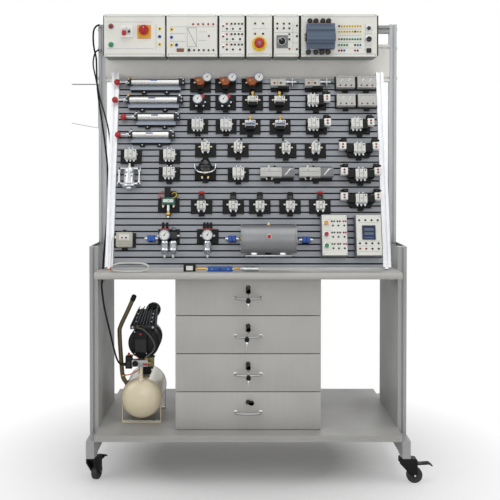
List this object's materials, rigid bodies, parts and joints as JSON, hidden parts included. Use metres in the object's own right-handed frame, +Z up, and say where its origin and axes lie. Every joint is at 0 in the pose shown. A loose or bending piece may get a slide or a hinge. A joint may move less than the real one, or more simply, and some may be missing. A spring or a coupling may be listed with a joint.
{
  "type": "pneumatic training workbench",
  "caption": "Wheeled training bench with a leaning slotted panel of pneumatic components, a rack of control modules, a drawer cabinet and a small compressor.",
  "frame": {"origin": "centre of the bounding box on the floor", "axes": "+X to the viewer's right along the bench, +Y from the front to the back, +Z up"},
  "size_m": [1.41, 0.6676, 1.7895],
  "materials": {
    "board_grey": "satin",
    "cable_black": "matt",
    "cable_white": "matt",
    "caster_black": "matt",
    "cylinder_silver": "satin",
    "drawer_grey": "satin",
    "fitting_blue": "satin",
    "frame_grey": "satin",
    "green_plastic": "gloss",
    "handle_steel": "satin",
    "module_white": "matt",
    "panel_silver": "satin",
    "profile_silver": "satin",
    "pump_black": "satin",
    "red_plastic": "gloss",
    "sign_grey": "satin",
    "tank_cream": "gloss",
    "tyre_black": "matt",
    "valve_white": "matt",
    "yellow_plastic": "gloss"
  },
  "bodies": {
    "bench": {"bench_fittings": "fitting_blue", "cabinet_carcass": "drawer_grey", "component_row_1": "valve_white", "component_row_2": "valve_white", "component_row_3": "valve_white", "component_row_4": "valve_white", "component_row_5": "valve_white", "component_row_6": "valve_white", "component_row_7": "valve_white", "compressor_pump": "pump_black", "compressor_tank": "tank_cream", "cylinder_1": "cylinder_silver", "cylinder_2": "cylinder_silver", "cylinder_3": "cylinder_silver", "cylinder_4": "cylinder_silver", "lead_rack": "handle_steel", "left_side_frame": "frame_grey", "left_upright": "profile_silver", "lower_shelf": "board_grey", "power_cable": "cable_black", "rack_cable": "cable_black", "rack_modules": "module_white", "right_side_frame": "frame_grey", "right_upright": "profile_silver", "sensor_cable_bundle": "cable_white", "sensor_cable_lead": "cable_white", "sign_frame": "sign_grey", "slotted_panel": "panel_silver", "table_top": "board_grey", "top_rail": "profile_silver"},
    "caster_brake_1": {"caster_brake_1": "caster_black"},
    "caster_brake_2": {"caster_brake_2": "caster_black"},
    "caster_fork_1": {"caster_fork_1": "caster_black"},
    "caster_fork_2": {"caster_fork_2": "caster_black"},
    "caster_fork_3": {"caster_fork_3": "caster_black"},
    "caster_fork_4": {"caster_fork_4": "caster_black"},
    "caster_wheel_1": {"caster_wheel_1": "tyre_black"},
    "caster_wheel_2": {"caster_wheel_2": "tyre_black"},
    "caster_wheel_3": {"caster_wheel_3": "tyre_black"},
    "caster_wheel_4": {"caster_wheel_4": "tyre_black"},
    "drawer_1": {"drawer_1": "drawer_grey"},
    "drawer_2": {"drawer_2": "drawer_grey"},
    "drawer_3": {"drawer_3": "drawer_grey"},
    "drawer_4": {"drawer_4": "drawer_grey"},
    "drawer_lock_1": {"drawer_lock_1": "handle_steel"},
    "drawer_lock_2": {"drawer_lock_2": "handle_steel"},
    "drawer_lock_3": {"drawer_lock_3": "handle_steel"},
    "drawer_lock_4": {"drawer_lock_4": "handle_steel"},
    "mushroom_button_1": {"mushroom_button_1": "red_plastic"},
    "mushroom_button_2": {"mushroom_button_2": "red_plastic"},
    "panel_button_1": {"panel_button_1": "yellow_plastic"},
    "panel_button_2": {"panel_button_2": "red_plastic"},
    "panel_button_3": {"panel_button_3": "green_plastic"},
    "piston_rod_1": {"piston_rod_1": "red_plastic"},
    "piston_rod_2": {"piston_rod_2": "red_plastic"},
    "piston_rod_3": {"piston_rod_3": "red_plastic"},
    "piston_rod_4": {"piston_rod_4": "red_plastic"},
    "stop_button": {"stop_button": "red_plastic"},
    "mains_switch_knob": {"mains_switch_knob": "red_plastic"},
    "outlet_tap": {"outlet_tap": "red_plastic"}
  },
  "joints": [
    {"name": "drawer_1_slide", "type": "slide", "parent": "bench", "child": "drawer_1", "axis": [0, -1, 0], "range_m": [0, 0.36]},
    {"name": "drawer_lock_1_turn", "type": "hinge", "parent": "drawer_1", "child": "drawer_lock_1", "pos_m": [0.0095, -0.26659, 0.73574], "axis": [0, 1, 0], "range_deg": [-90, 0]},
    {"name": "drawer_2_slide", "type": "slide", "parent": "bench", "child": "drawer_2", "axis": [0, -1, 0], "range_m": [0, 0.36]},
    {"name": "drawer_lock_2_turn", "type": "hinge", "parent": "drawer_2", "child": "drawer_lock_2", "pos_m": [0.0095, -0.26659, 0.59064], "axis": [0, 1, 0], "range_deg": [-90, 0]},
    {"name": "drawer_3_slide", "type": "slide", "parent": "bench", "child": "drawer_3", "axis": [0, -1, 0], "range_m": [0, 0.36]},
    {"name": "drawer_lock_3_turn", "type": "hinge", "parent": "drawer_3", "child": "drawer_lock_3", "pos_m": [0.0095, -0.26659, 0.44554], "axis": [0, 1, 0], "range_deg": [-90, 0]},
    {"name": "drawer_4_slide", "type": "slide", "parent": "bench", "child": "drawer_4", "axis": [0, -1, 0], "range_m": [0, 0.36]},
    {"name": "drawer_lock_4_turn", "type": "hinge", "parent": "drawer_4", "child": "drawer_lock_4", "pos_m": [0.0095, -0.26659, 0.30044], "axis": [0, 1, 0], "range_deg": [0, 90]},
    {"name": "caster_1_swivel", "type": "hinge", "parent": "bench", "child": "caster_fork_1", "pos_m": [-0.58, -0.28329, -0.00046], "axis": [0, 0, 1], "continuous": true},
    {"name": "caster_1_roll", "type": "hinge", "parent": "caster_fork_1", "child": "caster_wheel_1", "pos_m": [-0.56991, -0.24561, 0.02954], "axis": [-0.9659, 0.2588, 0], "continuous": true},
    {"name": "caster_1_brake_tilt", "type": "hinge", "parent": "caster_fork_1", "child": "caster_brake_1", "pos_m": [-0.56732, -0.23595, 0.07154], "axis": [-0.9659, 0.2588, 0], "range_deg": [0, 12]},
    {"name": "caster_2_swivel", "type": "hinge", "parent": "bench", "child": "caster_fork_2", "pos_m": [0.599, -0.28329, -0.00046], "axis": [0, 0, 1], "continuous": true},
    {"name": "caster_2_roll", "type": "hinge", "parent": "caster_fork_2", "child": "caster_wheel_2", "pos_m": [0.638, -0.28329, 0.02954], "axis": [0, 1, 0], "continuous": true},
    {"name": "caster_2_brake_tilt", "type": "hinge", "parent": "caster_fork_2", "child": "caster_brake_2", "pos_m": [0.648, -0.28329, 0.07154], "axis": [0, 1, 0], "range_deg": [0, 12]},
    {"name": "caster_3_swivel", "type": "hinge", "parent": "bench", "child": "caster_fork_3", "pos_m": [-0.58, 0.26671, -0.00046], "axis": [0, 0, 1], "continuous": true},
    {"name": "caster_3_roll", "type": "hinge", "parent": "caster_fork_3", "child": "caster_wheel_3", "pos_m": [-0.59334, 0.30336, 0.02954], "axis": [-0.9397, -0.342, 0], "continuous": true},
    {"name": "caster_4_swivel", "type": "hinge", "parent": "bench", "child": "caster_fork_4", "pos_m": [0.599, 0.26671, -0.00046], "axis": [0, 0, 1], "continuous": true},
    {"name": "caster_4_roll", "type": "hinge", "parent": "caster_fork_4", "child": "caster_wheel_4", "pos_m": [0.62888, 0.29178, 0.02954], "axis": [-0.6428, 0.766, 0], "continuous": true},
    {"name": "piston_1_stroke", "type": "slide", "parent": "bench", "child": "piston_rod_1", "axis": [-1, 0, 0], "range_m": [0, 0.125]},
    {"name": "piston_2_stroke", "type": "slide", "parent": "bench", "child": "piston_rod_2", "axis": [-1, 0, 0], "range_m": [0, 0.125]},
    {"name": "piston_3_stroke", "type": "slide", "parent": "bench", "child": "piston_rod_3", "axis": [-1, 0, 0], "range_m": [0, 0.08]},
    {"name": "piston_4_stroke", "type": "slide", "parent": "bench", "child": "piston_rod_4", "axis": [-1, 0, 0], "range_m": [0, 0.08]},
    {"name": "mushroom_1_press", "type": "slide", "parent": "bench", "child": "mushroom_button_1", "axis": [0, -0.2317, -0.9728], "range_m": [0, 0.004], "stiffness_N_per_m": 300, "springref_m": -0.004},
    {"name": "mushroom_2_press", "type": "slide", "parent": "bench", "child": "mushroom_button_2", "axis": [0, -0.2317, -0.9728], "range_m": [0, 0.004], "stiffness_N_per_m": 300, "springref_m": -0.004},
    {"name": "panel_button_1_press", "type": "slide", "parent": "bench", "child": "panel_button_1", "axis": [0, 0.9728, -0.2317], "range_m": [0, 0.003], "stiffness_N_per_m": 300, "springref_m": -0.003},
    {"name": "panel_button_2_press", "type": "slide", "parent": "bench", "child": "panel_button_2", "axis": [0, 0.9728, -0.2317], "range_m": [0, 0.003], "stiffness_N_per_m": 300, "springref_m": -0.003},
    {"name": "panel_button_3_press", "type": "slide", "parent": "bench", "child": "panel_button_3", "axis": [0, 0.9728, -0.2317], "range_m": [0, 0.003], "stiffness_N_per_m": 300, "springref_m": -0.003},
    {"name": "stop_button_press", "type": "slide", "parent": "bench", "child": "stop_button", "axis": [0, 1, 0], "range_m": [0, 0.005]},
    {"name": "mains_switch_turn", "type": "hinge", "parent": "bench", "child": "mains_switch_knob", "pos_m": [-0.3965, -0.16109, 1.72786], "axis": [0, 1, 0], "range_deg": [0, 90]},
    {"name": "outlet_tap_turn", "type": "hinge", "parent": "bench", "child": "outlet_tap", "pos_m": [-0.3872, -0.20819, 0.4327], "axis": [0, 1, 0], "range_deg": [0, 90]}
  ]
}
